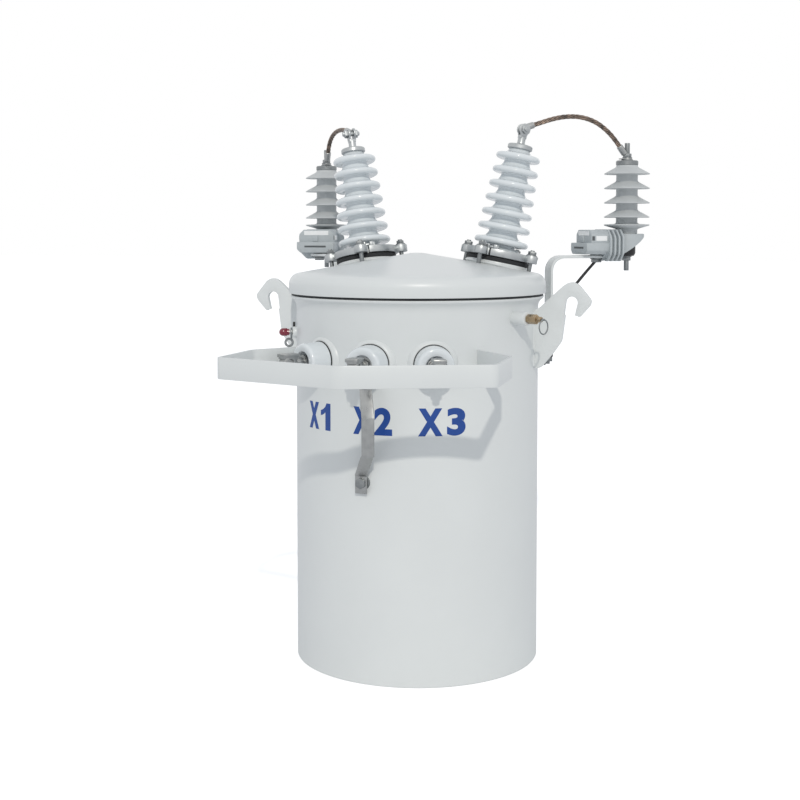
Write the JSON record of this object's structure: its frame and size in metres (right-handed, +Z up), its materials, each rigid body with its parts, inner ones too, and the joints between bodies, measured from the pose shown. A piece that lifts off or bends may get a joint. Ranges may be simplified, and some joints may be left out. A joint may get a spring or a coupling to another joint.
{
  "type": "pole mounted distribution transformer",
  "caption": "Cylindrical oil-filled distribution transformer with sloped lid, porcelain bushings, surge arresters on side brackets, a guard band, lifting hooks and rear pole lugs.",
  "frame": {"origin": "centre of the tank's foot ring, where it stands", "axes": "+Z up the tank, -Y towards the low-voltage side, +Y towards the pole"},
  "size_m": [0.7128, 0.7882, 0.9905],
  "materials": {
    "tank_paint": "light grey enamel, semi-gloss",
    "porcelain": "light grey glaze",
    "gasket_rubber": "matt",
    "cast_aluminium": "as cast",
    "zinc_steel": "galvanised",
    "tinned_copper": "tinned, satin",
    "brass": "turned",
    "arrester_silicone": "light grey silicone, satin",
    "arm_plastic": "moulded polyester, satin",
    "black_plastic": "moulded",
    "lamp_glass": "red lens",
    "copper_lead": "stranded, aged",
    "lead_sheath": "black insulation",
    "oil_fill": "sealed in, doesn't show"
  },
  "bodies": {
    "tank": {"arm_bolts": "zinc_steel", "arrester_arm_left": "arm_plastic", "arrester_arm_right": "arm_plastic", "arrester_bracket_left": "tank_paint", "arrester_bracket_right": "tank_paint", "arrester_caps": "zinc_steel", "arrester_left": "arrester_silicone", "arrester_right": "arrester_silicone", "breaker_boss": "tank_paint", "disconnectors": "black_plastic", "earth_lead": "lead_sheath", "earth_strap": "tinned_copper", "earthing_bolts": "zinc_steel", "guard_band": "tank_paint", "hv_bushing_left": "porcelain", "hv_bushing_right": "porcelain", "hv_clamp_left": "cast_aluminium", "hv_clamp_right": "cast_aluminium", "hv_clamp_studs": "zinc_steel", "hv_gaskets": "gasket_rubber", "hv_lead_left": "copper_lead", "hv_lead_right": "copper_lead", "hv_pads": "tank_paint", "hv_terminal_left": "cast_aluminium", "hv_terminal_right": "cast_aluminium", "lid": "tank_paint", "lid_gasket": "gasket_rubber", "lifting_hook_left": "tank_paint", "lifting_hook_right": "tank_paint", "lv_bushing_1": "porcelain", "lv_bushing_2": "porcelain", "lv_bushing_3": "porcelain", "lv_gaskets": "gasket_rubber", "lv_terminal_1": "tinned_copper", "lv_terminal_2": "tinned_copper", "lv_terminal_3": "tinned_copper", "oil_and_core": "oil_fill", "relief_valve": "brass", "signal_lamp": "lamp_glass", "support_lug_lower": "tank_paint", "support_lug_upper": "tank_paint", "tank_bottom": "tank_paint", "tank_shell": "tank_paint", "valve_boss": "tank_paint"},
    "breaker_handle": {"breaker_handle": "zinc_steel"},
    "relief_pull": {"relief_pull": "zinc_steel"}
  },
  "joints": [
    {"name": "breaker_turn", "type": "hinge", "parent": "tank", "child": "breaker_handle", "pos_m": [-0.21116, -0.08963, 0.589], "axis": [-0.9205, -0.3907, 0], "range_deg": [0, 90]},
    {"name": "relief_slide", "type": "slide", "parent": "tank", "child": "relief_pull", "axis": [0.9272, -0.3746, 0], "range_m": [0, 0.005], "stiffness_N_per_m": 300}
  ]
}
